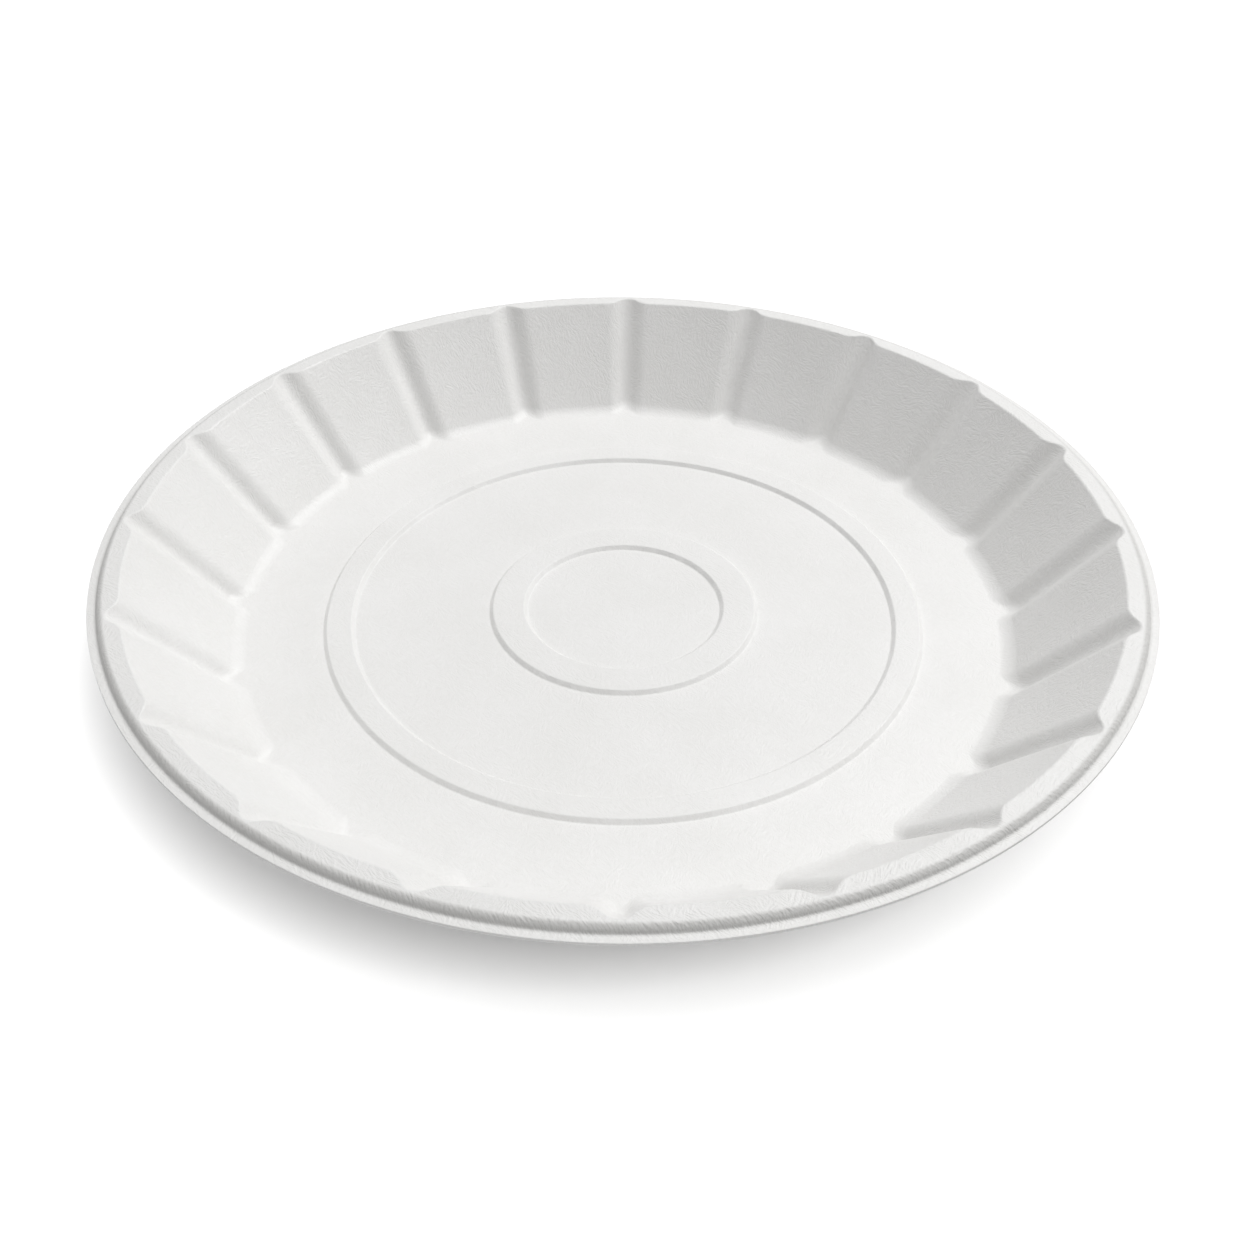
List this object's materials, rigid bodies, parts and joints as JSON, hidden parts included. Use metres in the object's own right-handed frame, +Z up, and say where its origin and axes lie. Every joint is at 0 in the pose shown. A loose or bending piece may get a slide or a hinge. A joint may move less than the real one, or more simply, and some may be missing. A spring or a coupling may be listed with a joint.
{
  "type": "bagasse tray",
  "caption": "Round moulded-fibre tray with a flat floor, two raised ring bands, a sloping fluted wall, a flat flange and a stepped outer lip.",
  "frame": {"origin": "centre of the underside of the floor, on the surface that the tray stands on", "axes": "+Z up along the tray's axis, towards the open side; one flute is centred on +X"},
  "size_m": [0.26, 0.26, 0.0271],
  "materials": {
    "moulded_fibre": "matt white pressed plant fibre with a faint grain and short fibres"
  },
  "bodies": {
    "root": {"tray": "moulded_fibre"}
  },
  "joints": []
}
